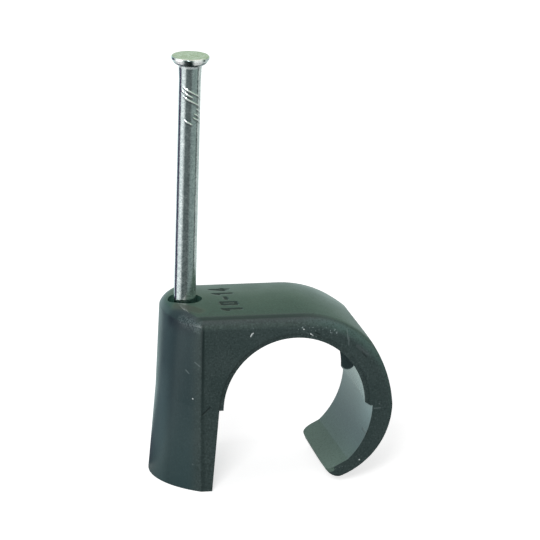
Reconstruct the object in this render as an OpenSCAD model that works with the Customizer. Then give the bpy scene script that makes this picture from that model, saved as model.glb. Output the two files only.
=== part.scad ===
// Moulded hook clip for one round cable, with its fixing nail part driven into the leg.
// The wall plane is z = 0, the nail's axis is the Z axis, and the hook reaches towards +X.

/* [Cable seat] */
// Radius of the seat's wall above the parting height
bore_r = 7.02; // [6.8:0.01:7.05]
// Distance from the nail's axis to the seat's centre
bore_x = 9.2; // [9:0.05:9.6]
// Height of the seat's centre above the wall plane
bore_z = 7.53; // [7.3:0.01:7.7]
// Extra radius of the seat's wall below the parting height
lower_gain = 0.23; // [0.1:0.01:0.3]
// Height of the mould's parting line
parting_z = 7.45; // [7:0.05:7.5]
// Inner radius of the thin rim round the front of the seat
rim_r = 6.58; // [6.3:0.01:6.7]
// Depth of the rim's face behind the front face
rim_recess = 0.2; // [0.1:0.05:1]
// Thickness of the rim along the seat
rim_t = 0.6; // [0.5:0.05:1]
// Rise of the sloped end of the rim, on the hook's side
rim_end = 0.27; // [0.1:0.01:0.6]
// Width of the flat foot of the rim's sloped end
rim_toe = 0.06; // [0.03:0.01:0.2]

/* [Body] */
// Width of the clip along the cable
depth = 12; // [10:0.5:14]
// Height of the top at the middle of its crown
top_z = 16.47; // [16.3:0.01:16.8]
// Radius of the crown across the top
crown_r = 36; // [25:1:80]
// Radius of the round along the top's long edges
edge_r = 1.1; // [0.5:0.1:1.5]
// Where the straight top turns into the round shoulder
shoulder_x = 9.8; // [9:0.1:11]
// Radius of the shoulder at the middle of its crown
shoulder_r = 9.47; // [9.3:0.01:9.7]

/* [Hook] */
// Radius of the hook's back above the parting height
back_r = 12.42; // [12:0.01:13]
// Distance from the nail's axis to the centre of the hook's back
back_x = 5.94; // [5.8:0.01:6.1]
// Height of the centre of the hook's back
back_z = 6.53; // [6.3:0.01:6.8]
// Radius of the hook's back below the parting height
under_r = 7.25; // [7:0.05:7.5]
// Height of the centre of the lower back
under_z = 7.59; // [7.5:0.01:7.7]
// Radius of the round at the hook's tip
tip_r = 1.15; // [1:0.05:1.3]
// How far short of straight down the round at the tip begins, in degrees
tip_turn = 21.8; // [20:0.1:25]
// Distance from the nail's axis to the inner edge of the tip
tip_x = 12.3; // [12.2:0.01:12.5]
// Height of the inner edge of the tip
tip_z = 1.31; // [1.2:0.01:1.4]
// Slope of the flat inside the tip, in degrees
tip_slope = 28; // [24:0.5:32]
// Lean of the tip's end from upright, in degrees
tip_lean = 23.5; // [20:0.1:28]
// How much further out the tip reaches at the front than at the back
tip_skew = 0.33; // [0.1:0.01:0.5]
// Radius of the tip's two corners
tip_corner = 1.1; // [0.8:0.1:1.4]

/* [Leg] */
// Radius of the leg's round end at the wall plane
end_foot_r = 7.63; // [7.4:0.01:7.9]
// Radius of the leg's round end at the parting height
end_r = 7.7; // [7.5:0.01:8]
// Radius of the leg's round end at the top
end_top_r = 8.15; // [7.8:0.05:8.5]
// Distance from the nail's axis to the leg's round end at the wall plane
end_reach = 2.88; // [2.6:0.01:3.2]
// Lean of the round end from upright, in degrees
end_lean = 4.2; // [3.5:0.1:5]
// Radius of the round over the top of the leg's end
end_round = 1.45; // [1:0.05:1.7]
// Widening of each side of the leg from the parting height to the wall plane
leg_flare = 0.4; // [0:0.05:0.6]
// Reach of the leg's inner face at the wall plane
leg_foot_x = 1.62; // [1.5:0.01:1.9]

/* [Nail hole] */
// Radius of the hole's mouth
mouth_r = 1.57; // [1.3:0.01:1.8]
// Depth of the wide part of the hole
mouth_depth = 6; // [2:0.5:8]
// Depth of the cone that leads to the grip
lead_depth = 1; // [0.5:0.1:3]
// Clearance between the nail and the grip
grip_gap = 0.02; // [0.01:0.01:0.1]

/* [Nail] */
// Radius of the shank
nail_r = 1; // [0.9:0.05:1.1]
// Length from the point to the top of the head
nail_length = 35; // [25:1:50]
// Height of the nail's point above the wall plane, as shipped
nail_start = 4.28; // [0:0.01:12]
// Length of the point
point_length = 2.6; // [1:0.1:5]
// Radius of the head
head_r = 1.74; // [1.5:0.01:2]
// Height of the head's upright rim
head_rim = 0.26; // [0.2:0.01:0.5]
// Height of the head's bulging underside
head_under = 0.66; // [0.3:0.01:1]
// Bulge of the underside beyond a straight cone
head_bulge = 0.07; // [0:0.01:0.1]
// Gain of the shank's radius under the head
neck_gain = 0.06; // [0.01:0.01:0.2]
// Length over which the neck runs down to the shank
neck_length = 1.3; // [0.5:0.1:3]
// Radius of the round along the head's top edge
head_round = 0.14; // [0.05:0.01:0.2]

/* [Hidden] */
$fn = 128;
crown_fn = 512;
// A length that reaches past every face of the clip
span = 40;
// Overlap of joined pieces
bite = 0.3;
// How far a drawn shape reaches past the face that trims it
excess = 1;
// Inner radius of the shoulder's ring, well inside the seat
core_r = 3;
// Extra radius of a round that is cut away, which makes it meet its neighbours at plain edges
round_lift = 0.004;
half = depth / 2;
// The leg's inner face starts where the seat's wall ends
leg_top_x = bore_x - sqrt(bore_r * bore_r - pow(bore_z - parting_z, 2));
// Where the axis of the round end meets the wall plane
end_x = end_foot_r - end_reach;
shoulder_z = top_z - shoulder_r;
// The two backs of the hook meet at the parting height
back_reach = back_x + sqrt(back_r * back_r - pow(parting_z - back_z, 2));
under_x = back_reach - sqrt(under_r * under_r - pow(under_z - parting_z, 2));
// Centre of the round along the top's edge, and the way it faces where the crown meets it
crown_z = top_z - crown_r;
round_y = half - edge_r;
round_rise = sqrt(pow(crown_r - edge_r, 2) - round_y * round_y);
crown_turn = atan2(round_rise, round_y);
// Top of the leaning end's round, measured along its own axis
end_top = top_z / cos(end_lean) - (end_top_r - end_round) * tan(end_lean);

// Plane with x across and y up, pulled along the cable's direction
module along_cable(length) {
    rotate([90, 0, 0])
    linear_extrude(height = length, center = true)
    children();
}

// Corner above the long edge's round, to be cut away
module edge_corner() {
    translate([round_y, crown_z + round_rise])
    difference() {
        polygon([
            [0, 0],
            [span, 0],
            [span, span],
            [span * cos(crown_turn), span * sin(crown_turn)]
        ]);
        circle(edge_r + round_lift);
    }
}

// Section across the clip, with x along the cable and y up
module section(bottom) {
    difference() {
        intersection() {
            translate([-half, bottom]) square([depth, top_z - bottom + excess]);
            translate([0, crown_z]) circle(crown_r, $fn = crown_fn);
        }
        edge_corner();
        mirror([1, 0]) edge_corner();
    }
}

// Crowned bar with rounded long edges, straight over the leg and turned round the shoulder
module crowned_bar() {
    translate([shoulder_x, 0, 0])
    rotate([90, 0, -90])
    linear_extrude(height = span)
    section(-excess);
    translate([shoulder_x, 0, shoulder_z])
    rotate([90, 0, 0])
    rotate(-90)
    rotate_extrude(angle = 180)
    translate([-shoulder_z, 0])
    rotate(-90)
    section(shoulder_z + core_r);
}

// Leaning round end of the leg, open towards the hook
module leg_end() {
    translate([end_x, 0, 0])
    rotate([0, end_lean, 0]) {
        rotate_extrude()
        difference() {
            polygon([
                [0, -excess],
                [end_foot_r, -excess],
                [end_foot_r, 0],
                [end_r, parting_z],
                [end_top_r, top_z],
                [end_top_r, span],
                [0, span]
            ]);
            translate([end_top_r - end_round, end_top - end_round])
            difference() {
                square(span);
                circle(end_round);
            }
        }
        translate([0, -span, -span]) cube(2 * span);
    }
}

// Clip above the parting height, still without its hole
module upper_clip() {
    along_cable(span)
    difference() {
        intersection() {
            translate([-span / 2, parting_z]) square(span);
            union() {
                translate([-span / 2, 0]) square([span / 2 + back_x, span]);
                translate([back_x, back_z]) circle(back_r);
            }
        }
        translate([bore_x, bore_z]) circle(bore_r);
    }
}

// Section of the hook below the parting height, thinning towards its round tip
module lower_section() {
    difference() {
        translate([under_x, under_z]) circle(under_r);
        difference() {
            translate([bore_x, bore_z]) circle(bore_r + lower_gain);
            translate([tip_x, tip_z])
            rotate(tip_slope)
            translate([-span, -span])
            square([2 * span, span]);
        }
        translate([-span / 2, parting_z]) square(span);
        translate([under_x, under_z])
        rotate(tip_turn)
        difference() {
            translate([-span, -span]) square(span);
            translate([0, tip_r - under_r]) circle(tip_r);
        }
    }
}

// Corner of the tip to be cut away outside its round, given how far the tip's end is set back there
module corner_cut(back) {
    translate([back + tip_corner, half - tip_corner])
    difference() {
        translate([-span, 0]) square(span);
        circle(tip_corner + round_lift);
    }
}

// What is cut off round the tip: a leaning, slightly skewed end with two round corners
module tip_cut() {
    translate([tip_x, 0, tip_z])
    rotate([0, -tip_lean, 0])
    linear_extrude(height = 2 * tip_z, center = true) {
        translate([0, -half])
        rotate(-atan2(tip_skew, depth))
        translate([-span, -span / 2])
        square([span, 2 * span]);
        corner_cut(tip_skew);
        mirror([0, 1]) corner_cut(0);
    }
}

// Hook below the parting height
module lower_hook() {
    difference() {
        along_cable(span) lower_section();
        tip_cut();
    }
}

// Leg below the parting height, wider along the cable at its foot
module lower_leg() {
    intersection() {
        along_cable(span)
        polygon([
            [-span / 2, 0],
            [leg_foot_x, 0],
            [leg_top_x, parting_z],
            [-span / 2, parting_z]
        ]);
        rotate([90, 0, 90])
        linear_extrude(height = span, center = true)
        polygon([
            [-half - leg_flare, 0],
            [half + leg_flare, 0],
            [half, parting_z],
            [-half, parting_z]
        ]);
    }
}

// Thin rim just behind the front face, round the seat above the parting height
module seat_rim() {
    slope_width = bore_r - rim_toe - rim_r;
    translate([0, (rim_t - depth) / 2 + rim_recess, 0])
    along_cable(rim_t)
    difference() {
        translate([bore_x, bore_z]) circle(bore_r + bite);
        translate([bore_x, bore_z]) circle(rim_r);
        translate([bore_x, parting_z])
        polygon([
            [-span / 2, -span / 2],
            [span / 2, -span / 2],
            [span / 2, 0],
            [bore_r - rim_toe, 0],
            [rim_r - slope_width, 2 * rim_end],
            [0, 2 * rim_end],
            [0, 0],
            [-span / 2, 0]
        ]);
    }
}

// Hole for the nail: a wide mouth, a cone and a grip that runs out at the foot
module nail_hole() {
    grip_r = nail_r + grip_gap;
    mouth_z = top_z - mouth_depth;
    rotate_extrude()
    polygon([
        [0, -excess],
        [grip_r, -excess],
        [grip_r, mouth_z - lead_depth],
        [mouth_r, mouth_z],
        [mouth_r, top_z + excess],
        [0, top_z + excess]
    ]);
}

module clip_body() {
    color([0.14, 0.17, 0.17])
    difference() {
        intersection() {
            union() {
                intersection() {
                    union() {
                        upper_clip();
                        lower_hook();
                    }
                    crowned_bar();
                }
                lower_leg();
                seat_rim();
            }
            leg_end();
        }
        nail_hole();
    }
}

module nail() {
    head_z = nail_length - head_rim - head_under;
    neck_r = nail_r + neck_gain;
    color([0.72, 0.74, 0.74])
    translate([0, 0, nail_start])
    rotate_extrude() {
        polygon([
            [0, 0],
            [nail_r, point_length],
            [nail_r, head_z - neck_length],
            [neck_r, head_z],
            [(neck_r + head_r) / 2 + head_bulge, head_z + head_under / 2 - head_bulge],
            [head_r, head_z + head_under],
            [head_r, nail_length - head_round],
            [head_r - head_round, nail_length - head_round],
            [head_r - head_round, nail_length],
            [0, nail_length]
        ]);
        translate([head_r - head_round, nail_length - head_round])
        intersection() {
            circle(head_round);
            square(head_round);
        }
    }
}

clip_body();
nail();
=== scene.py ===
"""Cable clip with its nail: materials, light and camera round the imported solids. Lengths are in metres."""
import math

import bpy
from mathutils import Matrix, Vector

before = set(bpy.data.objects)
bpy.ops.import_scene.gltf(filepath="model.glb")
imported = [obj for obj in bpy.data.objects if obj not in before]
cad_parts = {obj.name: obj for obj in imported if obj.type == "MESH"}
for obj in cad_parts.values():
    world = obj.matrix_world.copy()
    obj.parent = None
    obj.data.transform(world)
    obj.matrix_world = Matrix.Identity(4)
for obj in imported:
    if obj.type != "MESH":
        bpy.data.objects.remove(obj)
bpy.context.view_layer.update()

MM = 0.001
PHOTO_PIXELS = 540

# Camera, from the fit to the photo, where the target stands at the given pixel
YAW = math.radians(12.696)
ELEVATION = math.radians(16.548)
ROLL = math.radians(1.572)
TARGET = Vector((8.0, 0.0, 18.0)) * MM
DISTANCE = 540.6 * MM
TARGET_U = 271.125
TARGET_V = 278.938
FOCAL_PIXELS = 5926.6
SENSOR_WIDTH = 36.0
NEAREST_SEEN = 0.01
FARTHEST_SEEN = 20.0

# Lamps: the way to each one from the clip, its width and its power in watts
KEY_LAMP = {"toward": Vector((-0.336, -0.82, 0.46)), "size": 0.18, "power": 2.6}
SIDE_LAMP = {"toward": Vector((-0.94, -0.33, 0.30)), "size": 0.25, "power": 1.4}
LAMP_DISTANCE = 0.7
WORLD_LEVEL = 0.42
WHITE = (1.0, 1.0, 1.0)

# The room round the clip as gloss shows it, by the angle in degrees from the front: minus is the leg's side
ROOM_RING = (
    (-180, (0.78, 1.0, 1.0)),
    (-154, (0.78, 1.0, 1.0)),
    (-147, (0.08, 0.07, 0.12)),
    (-111, (0.08, 0.07, 0.12)),
    (-104, (0.92, 1.0, 1.0)),
    (-70, (0.95, 1.0, 1.0)),
    (-48, (0.12, 0.15, 0.15)),
    (0, (0.11, 0.13, 0.13)),
    (16, (0.24, 0.30, 0.29)),
    (70, (0.27, 0.34, 0.32)),
    (77, (0.06, 0.07, 0.07)),
    (83, (0.06, 0.07, 0.07)),
    (90, (0.52, 0.58, 0.56)),
    (135, (0.56, 0.62, 0.60)),
    (155, (0.82, 1.0, 0.96)),
    (180, (0.78, 1.0, 1.0)),
)
# Above the low horizon the room is duller and greener, and it's white overhead: each change runs over a
# stretch of the direction's z, or of its x for the wall's two colours
ROOM_WALL = (0.42, 0.57, 0.42)
ROOM_WALL_LEFT = (0.40, 0.58, 0.55)
WALL_FROM = (0.05, 0.25)
WALL_TURNS = (-0.25, 0.05)
OVERHEAD_FROM = (0.55, 0.88)

# Floor, which gloss shows dark close to the clip and in front of it, as a painted shadow
FLOOR_HALF = 1.5
FLOOR_DROP = 0.02 * MM
FLOOR_TONE = 0.8
FLOOR_SHOWN = 0.64
PAINTED_SHADOW_LEVEL = 0.18

# From here on, lengths and places in the materials are in millimetres

# The floor's painted shadow, which only gloss sees: its centre, the distances from there over which it ends,
# and its end to the back
FLOOR_CENTRE = (4.0, 0.0, 0.0)
PAINTED_SHADOW_REACH = (42.0, 58.0)
PAINTED_SHADOW_BACK = (-2.0, 12.0)

# Sizes of the part that the surface detail follows
SEAT_X = 9.2
SEAT_Z = 7.53
SEAT_R = 7.02
LOWER_GAIN = 0.23
PARTING_Z = 7.45
FRONT_Y = -6.0
BACK_Y = 6.0
RIM_RECESS = 0.2
SHOULDER_X = 9.8
SHOULDER_Z = 7.0
SHOULDER_R = 9.47
CROWN_EDGE_Y = -5.25
CROWN_EDGE_R = 9.05
HOLE_R = 1.58
NAIL_TOP = 39.28
HEAD_RIM = 0.26
HEAD_UNDER = 0.66
HEAD_Z = NAIL_TOP - HEAD_RIM - HEAD_UNDER

# Strokes of plain numbers in a cell one unit wide and one high
STROKES = {
    "0": ((0.2, 0.1), (0.2, 0.9), (0.8, 0.9), (0.8, 0.1), (0.2, 0.1)),
    "1": ((0.55, 0.0), (0.55, 1.0), (0.25, 0.75)),
    "4": ((0.7, 0.0), (0.7, 1.0), (0.1, 0.3), (0.95, 0.3)),
    "-": ((0.2, 0.5), (0.8, 0.5)),
}
MARKING = "10-14"
CELL_WIDTH = 1.0
CELL_HEIGHT = 1.6
CELL_PITCH = 1.45
MARKING_X = 4.5
MARKING_Y = -3.85

# Wear on the front face, as lines of x and z
DARK_SCRATCHES = (
    ((0.63, 7.2), (1.31, 7.88)),
    ((15.93, 4.75), (16.0, 4.83)),
    ((15.3, 12.6), (15.7, 12.1)),
    ((10.9, 14.6), (11.3, 14.4)),
)
LIGHT_SCRATCHES = (
    ((13.88, 14.7), (13.94, 13.87)),
    ((14.02, 14.01), (14.04, 13.3)),
    ((5.13, 15.19), (5.15, 15.21)),
    ((10.32, 15.05), (10.34, 15.07)),
    ((11.21, 14.85), (11.23, 14.87)),
    ((11.01, 14.17), (11.05, 14.13)),
    ((11.88, 15.02), (11.94, 15.0)),
    ((12.45, 14.54), (12.47, 14.52)),
    ((-0.07, 12.05), (0.32, 11.75)),
    ((-0.74, 11.12), (-0.53, 10.89)),
    ((-0.12, 2.46), (-0.1, 2.44)),
    ((17.06, 7.6), (17.12, 7.54)),
    ((16.6, 7.16), (17.2, 7.18)),
)
SOFT_STREAKS = (
    ((14.9, 13.17), (15.38, 12.72)),
    ((15.38, 12.72), (15.86, 12.37)),
)
BRIGHT_CHIPS = (
    ((4.91, 14.46), (5.03, 14.70)),
    ((5.03, 14.70), (5.14, 14.76)),
    ((10.46, 14.50), (10.72, 14.28)),
    ((9.79, 14.97), (9.84, 14.95)),
    ((-0.19, 8.58), (-0.17, 8.57)),
    ((15.34, 2.3), (15.37, 2.29)),
)

# Other places of wear, as lines of x, y and z
ARCH_DUST = ((9.4, 0.0, 14.9), (12.6, 0.0, 14.7))
TIP_DUST = ((12.9, 0.0, 1.7), (14.1, 0.0, 1.8))
BROWN_PATCH = ((-0.9, -1.8, 0.0), (0.5, -3.4, 0.0))
SCUFFED_CORNER = ((-1.1, -4.0, 15.75), (0.1, -5.5, 15.35))

# The x of the crease's painted shade at the wall plane, and its shift to -X for each unit of height
CREASE_X = 0.629
CREASE_LEAN = 0.0197
# Shift of the painted pale sheen on the leg's flank to +X for each unit of height
FLANK_LEAN = 0.04
# Rise of the lower end of the rough, painted-shade upper wall from the back to the front
MATTE_CLIMB = 3.6

# Grip marks under the nail's head: height on the front, and first and last angle from there in radians
GRIP_MARKS = (
    (36.05, -0.8, 1.4),
    (35.62, -1.0, 0.1),
    (35.2, -0.8, 1.4),
    (34.2, 0.3, 1.3),
    (33.8, 0.2, 1.2),
    (33.1, -0.6, 0.1),
    (34.75, 0.5, 1.2),
)
GRIP_SLOPE = 0.56
GRIP_HALF_WIDTH = 0.06
# Drop of the painted shadow below each grip mark
RIDGE_SHADOW_DROP = 0.18
DRAWN_STRETCH = (4.0, 4.0, 0.25)

# Colours of the plastic
BODY_DARK = (0.026, 0.043, 0.042)
BODY_PALE = (0.031, 0.049, 0.048)
LEG_END_LOW = (0.022, 0.045, 0.048)
LEG_END_HIGH = (0.014, 0.032, 0.036)
# Painted sheen on the leg's outer flank
FLANK_PAINTED_SHEEN = (0.052, 0.090, 0.094)
# Painted sheen: greener top
TOP_PAINTED_SHEEN = (0.019, 0.056, 0.045)
# Painted shade at the corner by the nail's hole
CORNER_PAINTED_SHADE = (0.008, 0.018, 0.024)
# Painted sheen on the shoulder
SHOULDER_PAINTED_SHEEN = (0.058, 0.106, 0.098)
WALL_DARK = (0.010, 0.036, 0.040)
# Painted light on the seat's wall, high up on the hook's side
WALL_PAINTED_LIGHT = (0.125, 0.210, 0.225)
WALL_GREEN = (0.088, 0.134, 0.112)
# Painted shade on the rough upper part of the seat's wall
WALL_PAINTED_SHADE = (0.012, 0.046, 0.052)
# Painted light that lifts the shade in the nail's hole
HOLE_PAINTED_LIGHT = (0.040, 0.100, 0.080)
SPECK_DARK = (0.008, 0.016, 0.016)
SPECK_PALE = (0.09, 0.125, 0.12)
# Painted shade along the top's front edge
EDGE_PAINTED_SHADE = (0.006, 0.022, 0.018)
# Painted shade in the crease at the leg's round end
CREASE_PAINTED_SHADE = (0.008, 0.018, 0.018)
# Painted shade in the number's sunk strokes
MARKS_PAINTED_SHADE = (0.002, 0.013, 0.010)
PATCH_BROWN = (0.070, 0.078, 0.054)
SCRATCH_DARK = (0.006, 0.012, 0.012)
SCRATCH_PALE = (0.15, 0.19, 0.19)
STREAK_PALE = (0.16, 0.18, 0.19)
CHIP_WHITE = (0.70, 0.76, 0.76)
DUST_PALE = (0.22, 0.28, 0.28)
SCUFF_PALE = (0.13, 0.17, 0.17)

# Colours of the steel
STEEL_DULL = (0.68, 0.73, 0.73)
STEEL_BRIGHT = (0.95, 0.99, 0.98)
STEEL_GRAIN = (0.42, 0.48, 0.49)
# Painted shadow below each grip mark
RIDGE_PAINTED_SHADOW = (0.25, 0.29, 0.28)
# Painted highlight on the grip marks
RIDGE_PAINTED_HIGHLIGHT = (0.95, 0.98, 0.98)
# Painted shade on the head's rim between the glints
RIM_PAINTED_SHADE = (0.16, 0.20, 0.20)
# Painted shade low down on the head
UNDER_RIM_PAINTED_SHADE = (0.15, 0.18, 0.19)
# Painted glints on the head's rim
RIM_PAINTED_GLINT = (0.97, 1.0, 0.98)
HEAD_DULL = (0.72, 0.69, 0.58)
HEAD_PALE = (1.0, 0.95, 0.92)

# Relief: the depth that a height of 1 stands for, in metres, and the heights
PLASTIC_RELIEF = 0.08 * MM
PLASTIC_GRAIN = 0.06
MARKS_DEPTH = 3.0
SCRATCH_DEPTH = 0.2
EDGE_DEPTH = 0.6
STEEL_RELIEF = 0.05 * MM
STEEL_GRAIN_HEIGHT = 0.18
DRAWN_HEIGHT = 0.14

# Gloss: roughness of the plastic's dull spots, and how far the steel's bright spots, its painted glints and
# painted highlights among them, lose their mirror
PLASTIC_IOR = 1.5
MARKS_ROUGHNESS = 0.8
PATCH_ROUGHNESS = 0.6
EDGE_ROUGHNESS = 0.7
METAL_LOST = 0.5
RIDGE_CHALK = 0.8
GLINT_CHALK = 1.4


class Graph:
    """Short calls that build one node tree. A mask is a value from 0 to 1."""

    def __init__(self, tree):
        self.tree = tree
        self.nodes = tree.nodes

    def locate(self):
        """Keeps the object coordinates in millimetres as place, x, y and z."""
        coordinates = self.node("ShaderNodeTexCoord").outputs["Object"]
        self.place = self.vector("SCALE", coordinates, scale=1 / MM)
        self.x, self.y, self.z = self.split(self.place)

    def node(self, kind, **settings):
        made = self.nodes.new(kind)
        for name, value in settings.items():
            setattr(made, name, value)
        return made

    def join(self, source, target):
        self.tree.links.new(source, target)

    def feed(self, socket, value):
        """Links a socket's output to an input, or writes a plain value into it."""
        if isinstance(value, bpy.types.NodeSocket):
            self.join(value, socket)
        else:
            socket.default_value = value

    def math(self, operation, a, b=0.0, c=0.0):
        made = self.node("ShaderNodeMath", operation=operation)
        for socket, value in zip(made.inputs, (a, b, c)):
            self.feed(socket, value)
        return made.outputs[0]

    def product(self, *values):
        total = values[0]
        for value in values[1:]:
            total = self.math("MULTIPLY", total, value)
        return total

    def most(self, *values):
        greatest = values[0]
        for value in values[1:]:
            greatest = self.math("MAXIMUM", greatest, value)
        return greatest

    def hypotenuse(self, a, b):
        squares = self.math("ADD", self.math("MULTIPLY", a, a), self.math("MULTIPLY", b, b))
        return self.math("SQRT", squares)

    def turn(self, x, y):
        """Angle round the Z axis from the front in radians: minus is the leg's side."""
        return self.math("ARCTAN2", x, self.math("MULTIPLY", y, -1.0))

    def vector(self, operation, a, b=(0.0, 0.0, 0.0), scale=1.0):
        made = self.node("ShaderNodeVectorMath", operation=operation)
        self.feed(made.inputs[0], a)
        if operation == "SCALE":
            self.feed(made.inputs["Scale"], scale)
        else:
            self.feed(made.inputs[1], b)
        name = "Value" if operation in ("LENGTH", "DISTANCE", "DOT_PRODUCT") else "Vector"
        return made.outputs[name]

    def split(self, place):
        made = self.node("ShaderNodeSeparateXYZ")
        self.join(place, made.inputs[0])
        return made.outputs

    def ramp(self, value, low, high, start, end):
        """Smooth step from start, where the value is low, to end, where it's high."""
        made = self.node("ShaderNodeMapRange", interpolation_type="SMOOTHSTEP")
        self.feed(made.inputs["Value"], value)
        made.inputs["From Min"].default_value = low
        made.inputs["From Max"].default_value = high
        made.inputs["To Min"].default_value = start
        made.inputs["To Max"].default_value = end
        return made.outputs["Result"]

    def rise(self, value, low, high):
        """Mask that is 0 below low and 1 above high."""
        return self.ramp(value, low, high, start=0.0, end=1.0)

    def fall(self, value, low, high):
        """Mask that is 1 below low and 0 above high."""
        return self.ramp(value, low, high, start=1.0, end=0.0)

    def window(self, value, low, high, soft):
        """Mask that is 1 between low and high, with soft ends."""
        rise = self.rise(value, low - soft, low + soft)
        fall = self.fall(value, high - soft, high + soft)
        return self.math("MULTIPLY", rise, fall)

    def blend(self, mask, a, b):
        """Number that is a where the mask is 0 and b where it's 1."""
        made = self.node("ShaderNodeMix", data_type="FLOAT")
        self.feed(made.inputs[0], mask)
        self.feed(made.inputs[2], a)
        self.feed(made.inputs[3], b)
        return made.outputs[0]

    def mix(self, mask, a, b):
        """Colour that is a where the mask is 0 and b where it's 1."""
        made = self.node("ShaderNodeMix", data_type="RGBA")
        self.feed(made.inputs[0], mask)
        for socket, colour in ((made.inputs[6], a), (made.inputs[7], b)):
            self.feed(socket, opaque(colour) if isinstance(colour, tuple) else colour)
        return made.outputs[2]

    def paint(self, tone, mask, colour, cover=1.0):
        """Tone with a colour laid over it where the mask is 1."""
        if cover != 1.0:
            mask = self.math("MULTIPLY", mask, cover)
        return self.mix(mask, tone, colour)

    def noise(self, place, scale, detail, roughness=0.5):
        made = self.node("ShaderNodeTexNoise")
        self.join(place, made.inputs["Vector"])
        made.inputs["Scale"].default_value = scale
        made.inputs["Detail"].default_value = detail
        made.inputs["Roughness"].default_value = roughness
        return made.outputs["Fac"]

    def bump(self, height, distance):
        made = self.node("ShaderNodeBump")
        self.join(height, made.inputs["Height"])
        made.inputs["Distance"].default_value = distance
        made.inputs["Strength"].default_value = 1.0
        return made.outputs["Normal"]

    def to_line(self, place, ends):
        """Distance from a point to the line between two ends."""
        start, end = Vector(ends[0]), Vector(ends[1])
        along = end - start
        from_start = self.vector("SUBTRACT", place, tuple(start))
        share = self.vector("DOT_PRODUCT", from_start, tuple(along / along.length_squared))
        share = self.math("MINIMUM", self.math("MAXIMUM", share, 0.0), 1.0)
        nearest = self.vector("SCALE", tuple(along), scale=share)
        return self.vector("DISTANCE", from_start, nearest)

    def lines(self, place, pairs, width, soft):
        """Mask of lines of one width, each given by its two ends."""
        least = None
        for ends in pairs:
            reach = self.to_line(place, ends)
            least = reach if least is None else self.math("MINIMUM", least, reach)
        return self.fall(least, width / 2 - soft, width / 2 + soft)


def opaque(colour):
    return (*colour, 1.0)


def new_material(name):
    material = bpy.data.materials.new(name)
    material.use_nodes = True
    return material, Graph(material.node_tree), material.node_tree.nodes["Principled BSDF"]


def seat_wall(graph):
    """Mask of the seat's wall: all its depth below the parting height, and behind the rim above it."""
    below = graph.fall(graph.z, PARTING_Z - 0.02, PARTING_Z + 0.02)
    across = graph.math("SUBTRACT", graph.x, SEAT_X)
    above = graph.math("SUBTRACT", graph.z, SEAT_Z)
    reach = graph.math("MULTIPLY_ADD", below, -LOWER_GAIN, graph.hypotenuse(across, above))
    within = graph.fall(reach, SEAT_R + 0.05, SEAT_R + 0.10)
    behind_front = graph.rise(graph.y, FRONT_Y + 0.03, FRONT_Y + 0.08)
    behind_rim = graph.rise(graph.y, FRONT_Y + RIM_RECESS, FRONT_Y + 0.7)
    return graph.product(within, behind_front, graph.most(behind_rim, below))


def shaded_matte_wall(graph, wall):
    """Mask of the rough upper part of the seat's wall, which is painted in shade and ends on a line that
    climbs to the front.
    """
    climb = graph.ramp(graph.y, FRONT_Y, BACK_Y, start=MATTE_CLIMB, end=0.0)
    above = graph.math("SUBTRACT", graph.z, SEAT_Z)
    upper = graph.rise(graph.math("SUBTRACT", above, climb), -0.12, 0.12)
    return graph.product(wall, upper)


def bar_reach(graph):
    """Distance from the shoulder's axis, or from its level over the straight bar."""
    past = graph.math("MAXIMUM", graph.math("SUBTRACT", graph.x, SHOULDER_X), 0.0)
    above = graph.math("SUBTRACT", graph.z, SHOULDER_Z)
    return graph.hypotenuse(past, above)


def edge_shade_line(graph, reach):
    """Mask of the fine line of painted shade, also let in as a groove, where the crowned top meets its front
    edge's round.
    """
    outward = graph.math("SUBTRACT", reach, CROWN_EDGE_R)
    forward = graph.math("SUBTRACT", graph.y, CROWN_EDGE_Y)
    line = graph.fall(graph.hypotenuse(outward, forward), 0.16, 0.46)
    past_leg = graph.rise(graph.x, -0.2, 0.4)
    fading = graph.ramp(graph.x, 8.0, 15.0, start=0.85, end=0.3)
    return graph.product(line, past_leg, fading)


def front_crease_shade(graph):
    """Mask of painted shade in the crease between the leg's round end and the flat front, stronger higher
    up.
    """
    leaning_x = graph.math("MULTIPLY_ADD", graph.z, CREASE_LEAN, -CREASE_X)
    crease = graph.window(graph.math("ADD", graph.x, leaning_x), 0.0, 0.30, soft=0.10)
    on_front = graph.fall(graph.y, FRONT_Y + 0.15, FRONT_Y + 0.3)
    higher = graph.ramp(graph.z, 5.0, 15.0, start=0.45, end=0.95)
    return graph.product(crease, on_front, higher)


def marking_lines():
    """Strokes of the number on the top, which reads from the front to the back."""
    pairs = []
    for index, sign in enumerate(MARKING):
        spots = []
        for across, up in STROKES[sign]:
            x = MARKING_X - up * CELL_HEIGHT
            y = MARKING_Y + index * CELL_PITCH + across * CELL_WIDTH
            spots.append((x, y, 0.0))
        pairs.extend(zip(spots, spots[1:]))
    return pairs


def flat_on_top(graph):
    return graph.vector("MULTIPLY", graph.place, (1.0, 1.0, 0.0))


def number_marks(graph):
    """Mask of the number on the top."""
    marks = graph.lines(flat_on_top(graph), marking_lines(), width=0.38, soft=0.12)
    return graph.product(marks, graph.rise(graph.z, 15.6, 15.9))


def brown_patch(graph):
    """Mask of the brownish patch on the top, in front of the nail."""
    patch = graph.fall(graph.to_line(flat_on_top(graph), BROWN_PATCH), 0.3, 1.0)
    return graph.product(patch, graph.rise(graph.z, 15.9, 16.1))


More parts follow.
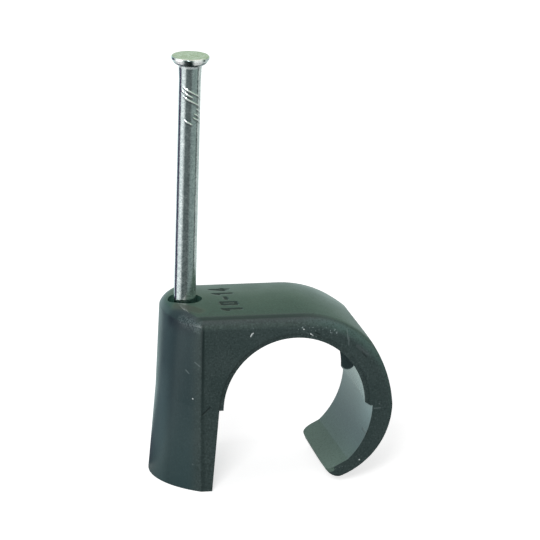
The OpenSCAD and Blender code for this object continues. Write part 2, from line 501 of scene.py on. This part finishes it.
class FrontWear:
    """Masks of the wear on the front face, from lines of x and z."""

    def __init__(self, graph):
        self.graph = graph
        self.flat = graph.vector("MULTIPLY", graph.place, (1.0, 0.0, 1.0))
        self.in_front = graph.fall(graph.y, -4.6, -4.4)

    def strokes(self, lines, width, soft):
        pairs = [[(x, 0.0, z) for x, z in line] for line in lines]
        marks = self.graph.lines(self.flat, pairs, width, soft)
        return self.graph.product(marks, self.in_front)

    def dust(self):
        """Specks of dust over the arch and at the tip."""
        graph = self.graph
        arch = graph.fall(graph.to_line(self.flat, ARCH_DUST), 0.3, 0.7)
        tip = graph.fall(graph.to_line(self.flat, TIP_DUST), 0.1, 0.3)
        specks = graph.rise(graph.noise(graph.place, scale=5.0, detail=0.0), 0.69, 0.77)
        return graph.product(specks, graph.most(arch, tip), self.in_front)


def body_tone(graph, cloud):
    """Clouded green-grey, with a bluer round end of the leg whose outer flank carries a pale painted sheen.
    """
    tone = graph.mix(graph.rise(cloud, 0.35, 0.65), BODY_DARK, BODY_PALE)
    leg_end = graph.mix(graph.rise(graph.z, 3.0, 10.0), LEG_END_LOW, LEG_END_HIGH)
    tone = graph.mix(graph.fall(graph.x, -0.6, 0.4), tone, leg_end)
    # Painted sheen: a pale band down the leg's outer flank, stronger half way up
    leaning_x = graph.math("MULTIPLY_ADD", graph.z, -FLANK_LEAN, graph.x)
    half_way_up = graph.window(graph.z, 2.5, 10.0, soft=1.5)
    strength = graph.math("MULTIPLY_ADD", half_way_up, 0.5, 0.5)
    flank = graph.product(graph.fall(leaning_x, -2.65, -1.95), strength)
    return graph.paint(tone, flank, FLANK_PAINTED_SHEEN)


def paint_top(graph, tone, reach):
    """Greener painted sheen on the top, painted shade at the corner by the hole, and a pale painted sheen on
    the shoulder.
    """
    # Painted sheen: greener over the top
    top = graph.product(graph.rise(reach, 9.0, 9.25), graph.rise(graph.z, 14.5, 16.0))
    tone = graph.paint(tone, top, TOP_PAINTED_SHEEN)
    # Painted shade at the corner by the hole
    by_hole = graph.product(graph.fall(graph.x, -0.5, 0.3), graph.fall(graph.y, -2.6, -1.6))
    corner = graph.product(by_hole, graph.rise(graph.z, 14.0, 15.5))
    tone = graph.paint(tone, corner, CORNER_PAINTED_SHADE, cover=0.9)
    # Painted sheen: paler shoulder, stronger higher up
    outside = graph.rise(reach, SHOULDER_R - 1.5, SHOULDER_R - 0.6)
    higher = graph.ramp(graph.z, 10.0, 13.0, start=0.4, end=1.0)
    shoulder = graph.product(outside, graph.rise(graph.x, 9.0, 13.5), higher)
    return graph.paint(tone, shoulder, SHOULDER_PAINTED_SHEEN)


def paint_hollows(graph, tone, wall, matte_shade):
    """Seat's wall, with painted light high up on the hook's side, greener near the tip and with painted
    shade on its rough upper part, and painted light in the nail's hole.
    """
    # Painted light: pale high up on the hook's side, strongest near the front
    near_front = graph.ramp(graph.y, -4.5, 1.0, start=1.0, end=0.25)
    pale = graph.product(near_front, graph.rise(graph.z, 4.0, 9.0), graph.rise(graph.x, 12.0, 14.0))
    wall_tone = graph.mix(pale, WALL_DARK, WALL_PAINTED_LIGHT)
    wall_tone = graph.paint(wall_tone, graph.fall(graph.z, 1.3, 4.3), WALL_GREEN)
    tone = graph.mix(wall, tone, wall_tone)
    # Painted shade over the rough upper part of the wall
    tone = graph.paint(tone, matte_shade, WALL_PAINTED_SHADE)
    # Painted light: lifts the shade inside the nail's hole
    in_hole = graph.fall(graph.hypotenuse(graph.x, graph.y), HOLE_R, HOLE_R + 0.04)
    return graph.paint(tone, in_hole, HOLE_PAINTED_LIGHT)


def paint_specks(graph, tone):
    """Fine dark and pale specks, weaker on the leg's round end."""
    speckle = graph.noise(graph.place, scale=6.0, detail=1.0)
    strength = graph.ramp(graph.x, -0.2, 0.5, start=0.3, end=1.0)
    dark = graph.product(graph.fall(speckle, 0.30, 0.50), strength)
    pale = graph.product(graph.rise(speckle, 0.54, 0.74), strength)
    tone = graph.paint(tone, dark, SPECK_DARK, cover=0.5)
    return graph.paint(tone, pale, SPECK_PALE, cover=0.3)


def paint_front_wear(graph, tone, wear, dark):
    """Dark and pale scratches, soft streaks, white chips and dust."""
    pale = wear.strokes(LIGHT_SCRATCHES, width=0.08, soft=0.05)
    streaks = wear.strokes(SOFT_STREAKS, width=0.26, soft=0.16)
    chips = wear.strokes(BRIGHT_CHIPS, width=0.07, soft=0.05)
    tone = graph.paint(tone, dark, SCRATCH_DARK, cover=0.7)
    tone = graph.paint(tone, pale, SCRATCH_PALE, cover=0.5)
    tone = graph.paint(tone, streaks, STREAK_PALE, cover=0.16)
    tone = graph.paint(tone, chips, CHIP_WHITE)
    return graph.paint(tone, wear.dust(), DUST_PALE, cover=0.7)


def scuffed_corner(graph, grain):
    """Mask of the scuff on the corner between the top, the leg's round end and the front."""
    near = graph.fall(graph.to_line(graph.place, SCUFFED_CORNER), 0.15, 0.8)
    return graph.product(near, graph.rise(grain, 0.42, 0.62))


def plastic_roughness(graph, cloud, wall, spots):
    """Satin, glossier on the seat's wall, and duller on the spots, each with its roughness."""
    satin = graph.ramp(cloud, 0.3, 0.7, start=0.31, end=0.37)
    smooth = graph.ramp(graph.z, 6.0, 9.0, start=0.30, end=0.22)
    dull = [graph.product(mask, roughness) for mask, roughness in spots]
    return graph.most(graph.blend(wall, satin, smooth), *dull)


def plastic_normal(graph, grain, sunk):
    """Fine grain, with each sunk mask let into it by its depth."""
    height = graph.math("MULTIPLY", grain, PLASTIC_GRAIN)
    for mask, depth in sunk:
        height = graph.math("SUBTRACT", height, graph.math("MULTIPLY", mask, depth))
    return graph.bump(height, PLASTIC_RELIEF)


def plastic_material():
    """Dark green-grey moulded plastic with a fine grain, worn marks and a plain number on top, with painted
    light and shade on its top, leg, creases, seat wall and hole.
    """
    material, graph, shader = new_material("clip_plastic_moulded")
    graph.locate()
    cloud = graph.noise(graph.place, scale=0.35, detail=4.0)
    grain = graph.noise(graph.place, scale=7.0, detail=4.0, roughness=0.65)
    reach = bar_reach(graph)
    wall = seat_wall(graph)
    matte_shade = shaded_matte_wall(graph, wall)
    edge = edge_shade_line(graph, reach)
    marks = number_marks(graph)
    patch = brown_patch(graph)
    wear = FrontWear(graph)
    scratches = wear.strokes(DARK_SCRATCHES, width=0.16, soft=0.05)

    tone = body_tone(graph, cloud)
    tone = paint_top(graph, tone, reach)
    tone = paint_hollows(graph, tone, wall, matte_shade)
    tone = paint_specks(graph, tone)
    # Painted shade along the line where the top meets its front round
    tone = graph.paint(tone, edge, EDGE_PAINTED_SHADE)
    # Painted shade in the crease
    tone = graph.paint(tone, front_crease_shade(graph), CREASE_PAINTED_SHADE)
    # Painted shade in the sunk strokes of the number
    tone = graph.paint(tone, marks, MARKS_PAINTED_SHADE, cover=0.95)
    tone = graph.paint(tone, patch, PATCH_BROWN, cover=0.5)
    tone = paint_front_wear(graph, tone, wear, scratches)
    tone = graph.paint(tone, scuffed_corner(graph, grain), SCUFF_PALE, cover=0.5)
    graph.join(tone, shader.inputs["Base Color"])

    spots = ((marks, MARKS_ROUGHNESS), (patch, PATCH_ROUGHNESS), (edge, EDGE_ROUGHNESS), (matte_shade, 1.0))
    graph.join(plastic_roughness(graph, cloud, wall, spots), shader.inputs["Roughness"])
    sunk = ((marks, MARKS_DEPTH), (scratches, SCRATCH_DEPTH), (edge, EDGE_DEPTH))
    graph.join(plastic_normal(graph, grain, sunk), shader.inputs["Normal"])
    shader.inputs["IOR"].default_value = PLASTIC_IOR
    return material


def grip_marks(graph, turn, drop=0.0):
    """Mask of the slanting grip marks below the head, moved down by the drop."""
    sloping_z = graph.math("MULTIPLY_ADD", turn, GRIP_SLOPE, graph.z)
    bands = []
    for height, first, last in GRIP_MARKS:
        low = height - drop - GRIP_HALF_WIDTH
        high = height - drop + GRIP_HALF_WIDTH
        band = graph.window(sloping_z, low, high, soft=GRIP_HALF_WIDTH)
        bands.append(graph.product(band, graph.window(turn, first, last, soft=0.12)))
    return graph.most(*bands)


def rim_painted_glint(graph, turn):
    """Mask of the two painted glints on the head's rim."""
    left = graph.window(turn, -1.15, -0.62, soft=0.15)
    right = graph.window(turn, -0.02, 0.50, soft=0.12)
    on_rim = graph.window(graph.z, HEAD_Z + 0.35, NAIL_TOP - 0.04, soft=0.06)
    return graph.product(graph.math("ADD", left, right), on_rim)


def paint_head(graph, tone, turn, mottle, glint):
    """Head's top, mottled and yellower, and its rim, with painted shade between the painted glints and low
    down.
    """
    # Painted shade on the rim between the two glints
    shaded_part = graph.window(turn, -0.50, -0.10, soft=0.12)
    shaded_rim = graph.product(graph.window(graph.z, HEAD_Z + 0.25, NAIL_TOP - 0.02, soft=0.05), shaded_part)
    tone = graph.paint(tone, shaded_rim, RIM_PAINTED_SHADE, cover=0.95)
    top_tone = graph.mix(graph.rise(mottle, 0.35, 0.65), HEAD_DULL, HEAD_PALE)
    tone = graph.mix(graph.rise(graph.z, NAIL_TOP - 0.08, NAIL_TOP - 0.02), tone, top_tone)
    # Painted glints on the rim
    tone = graph.paint(tone, glint, RIM_PAINTED_GLINT)
    # Painted shade low down under the rim, except under the glints
    under_rim_shade = graph.window(graph.z, HEAD_Z + 0.15, HEAD_Z + 0.5, soft=0.08)
    dark = graph.math("MAXIMUM", graph.math("SUBTRACT", under_rim_shade, glint), 0.0)
    return graph.paint(tone, dark, UNDER_RIM_PAINTED_SHADE, cover=0.9)


def steel_material():
    """Zinc-plated drawn wire, slightly mottled, with grip marks under its head, and painted glints,
    highlights and shade on its head and grip marks.
    """
    material, graph, shader = new_material("nail_steel_plated")
    graph.locate()
    turn = graph.turn(graph.x, graph.y)
    mottle = graph.noise(graph.place, scale=2.0, detail=5.0, roughness=0.65)
    grain = graph.noise(graph.place, scale=6.0, detail=3.0, roughness=0.6)
    along_wire = graph.vector("MULTIPLY", graph.place, DRAWN_STRETCH)
    drawn = graph.noise(along_wire, scale=1.0, detail=3.0, roughness=0.6)
    ridges = grip_marks(graph, turn)
    # Painted shadow: the grip marks moved down a little
    ridge_shadows = grip_marks(graph, turn, drop=RIDGE_SHADOW_DROP)
    glint = rim_painted_glint(graph, turn)

    tone = graph.mix(graph.rise(mottle, 0.32, 0.68), STEEL_DULL, STEEL_BRIGHT)
    tone = graph.paint(tone, graph.fall(grain, 0.35, 0.60), STEEL_GRAIN, cover=0.6)
    # Painted shadow just below each grip mark
    tone = graph.paint(tone, ridge_shadows, RIDGE_PAINTED_SHADOW, cover=0.6)
    # Painted highlight on the raised grip marks
    tone = graph.paint(tone, ridges, RIDGE_PAINTED_HIGHLIGHT)
    tone = paint_head(graph, tone, turn, mottle, glint)
    graph.join(tone, shader.inputs["Base Color"])

    neck = graph.window(graph.z, HEAD_Z - 0.1, HEAD_Z + 0.2, soft=0.1)
    chalky = graph.most(neck, graph.product(ridges, RIDGE_CHALK), graph.product(glint, GLINT_CHALK))
    graph.join(graph.math("MULTIPLY_ADD", chalky, -METAL_LOST, 1.0), shader.inputs["Metallic"])
    graph.join(graph.ramp(mottle, 0.3, 0.7, start=0.13, end=0.21), shader.inputs["Roughness"])
    height = graph.math("MULTIPLY_ADD", grain, STEEL_GRAIN_HEIGHT, graph.product(drawn, DRAWN_HEIGHT))
    height = graph.math("ADD", height, ridges)
    graph.join(graph.bump(height, STEEL_RELIEF), shader.inputs["Normal"])
    return material


def dress(node, material):
    slots = node.material_slots
    for slot in slots:
        slot.material = material
    if not slots:
        node.data.materials.append(material)


def camera_turn():
    """Directions to the camera's right, up and back, rolled about the way it looks."""
    level_share = math.cos(ELEVATION)
    back = Vector((-math.sin(YAW) * level_share, -math.cos(YAW) * level_share, math.sin(ELEVATION)))
    level = Vector((math.cos(YAW), -math.sin(YAW), 0.0))
    rise = back.cross(level)
    right = math.cos(ROLL) * level + math.sin(ROLL) * rise
    up = math.cos(ROLL) * rise - math.sin(ROLL) * level
    return right, up, back


def add_camera():
    data = bpy.data.cameras.new("photo_camera")
    data.sensor_width = SENSOR_WIDTH
    data.lens = FOCAL_PIXELS * SENSOR_WIDTH / PHOTO_PIXELS
    data.shift_x = (PHOTO_PIXELS / 2 - TARGET_U) / PHOTO_PIXELS
    data.shift_y = (TARGET_V - PHOTO_PIXELS / 2) / PHOTO_PIXELS
    data.clip_start = NEAREST_SEEN
    data.clip_end = FARTHEST_SEEN
    camera = bpy.data.objects.new("photo_camera", data)
    bpy.context.scene.collection.objects.link(camera)
    right, up, back = camera_turn()
    turn = Matrix((right, up, back)).transposed().to_4x4()
    camera.matrix_world = Matrix.Translation(TARGET + back * DISTANCE) @ turn
    bpy.context.scene.camera = camera


def add_lamp(name, toward, size, power):
    """Square area lamp in the given direction from the clip, facing it."""
    data = bpy.data.lights.new(name, "AREA")
    data.shape = "SQUARE"
    data.size = size
    data.energy = power
    lamp = bpy.data.objects.new(name, data)
    bpy.context.scene.collection.objects.link(lamp)
    direction = toward.normalized()
    lamp.location = TARGET + direction * LAMP_DISTANCE
    lamp.rotation_mode = "QUATERNION"
    lamp.rotation_quaternion = direction.to_track_quat("Z", "Y")


def ring_colour(graph, x, y):
    """Colour of the room low down, by the angle round the clip from its front."""
    made = graph.node("ShaderNodeValToRGB")
    share = graph.math("MULTIPLY_ADD", graph.turn(x, y), 0.5 / math.pi, 0.5)
    graph.join(share, made.inputs[0])
    stops = made.color_ramp.elements
    stops[0].position = 0.0
    stops[1].position = 1.0
    stops[0].color = opaque(ROOM_RING[0][1])
    stops[1].color = opaque(ROOM_RING[-1][1])
    for angle, colour in ROOM_RING[1:-1]:
        stop = stops.new(0.5 + angle / 360)
        stop.color = opaque(colour)
    return made.outputs["Color"]


def ray_kinds(graph):
    """1 for rays from the camera, and 1 for those from gloss and through glass."""
    path = graph.node("ShaderNodeLightPath").outputs
    mirrored = graph.most(path["Is Glossy Ray"], path["Is Transmission Ray"])
    return path["Is Camera Ray"], mirrored


def add_world():
    """White for the camera, the room for gloss, and a soft even light for the rest."""
    world = bpy.data.worlds.new("studio")
    bpy.context.scene.world = world
    world.use_nodes = True
    graph = Graph(world.node_tree)
    background = world.node_tree.nodes["Background"]
    camera_ray, mirrored = ray_kinds(graph)
    x, y, z = graph.split(graph.node("ShaderNodeTexCoord").outputs["Generated"])
    wall = graph.mix(graph.rise(x, *WALL_TURNS), ROOM_WALL_LEFT, ROOM_WALL)
    room = graph.mix(graph.rise(z, *WALL_FROM), ring_colour(graph, x, y), wall)
    room = graph.paint(room, graph.rise(z, *OVERHEAD_FROM), WHITE)
    graph.join(graph.mix(mirrored, WHITE, room), background.inputs["Color"])
    level = graph.blend(mirrored, WORLD_LEVEL, 1.0)
    graph.join(graph.blend(camera_ray, level, 1.0), background.inputs["Strength"])


def floor_material():
    """Pale paper that the camera sees white but for the clip's shadow, and gloss sees as the room, with a
    painted shadow close to the clip and in front of it.
    """
    material, graph, shader = new_material("floor_paper")
    shader.inputs["Roughness"].default_value = 0.9
    shader.inputs["Specular IOR Level"].default_value = 0.0
    graph.locate()
    camera_ray, mirrored = ray_kinds(graph)
    graph.join(graph.math("MULTIPLY_ADD", mirrored, -FLOOR_TONE, FLOOR_TONE), shader.inputs["Base Color"])
    place = graph.vector("SUBTRACT", graph.place, FLOOR_CENTRE)
    x, y, z = graph.split(place)
    # Painted shadow that only gloss sees, close to the clip and in front of it
    near = graph.ramp(graph.vector("LENGTH", place), *PAINTED_SHADOW_REACH, start=PAINTED_SHADOW_LEVEL, end=1.0)
    shown = graph.blend(graph.rise(y, *PAINTED_SHADOW_BACK), near, 1.0)
    glow = graph.mix(mirrored, WHITE, ring_colour(graph, x, y))
    graph.join(glow, shader.inputs["Emission Color"])
    for_gloss = graph.math("MULTIPLY", mirrored, shown)
    strength = graph.math("MULTIPLY_ADD", camera_ray, FLOOR_SHOWN, for_gloss)
    graph.join(strength, shader.inputs["Emission Strength"])
    return material


def add_floor():
    """Flat sheet just under the clip."""
    mesh = bpy.data.meshes.new("floor")
    signs = ((-1, -1), (1, -1), (1, 1), (-1, 1))
    corners = [(x * FLOOR_HALF, y * FLOOR_HALF, -FLOOR_DROP) for x, y in signs]
    mesh.from_pydata(corners, [], [(0, 1, 2, 3)])
    mesh.materials.append(floor_material())
    floor = bpy.data.objects.new("floor", mesh)
    bpy.context.scene.collection.objects.link(floor)


dress(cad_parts["clip_body"], plastic_material())
dress(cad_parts["nail"], steel_material())
add_camera()
add_lamp("key", **KEY_LAMP)
add_lamp("side", **SIDE_LAMP)
add_world()
add_floor()
bpy.context.scene.view_settings.view_transform = "Standard"
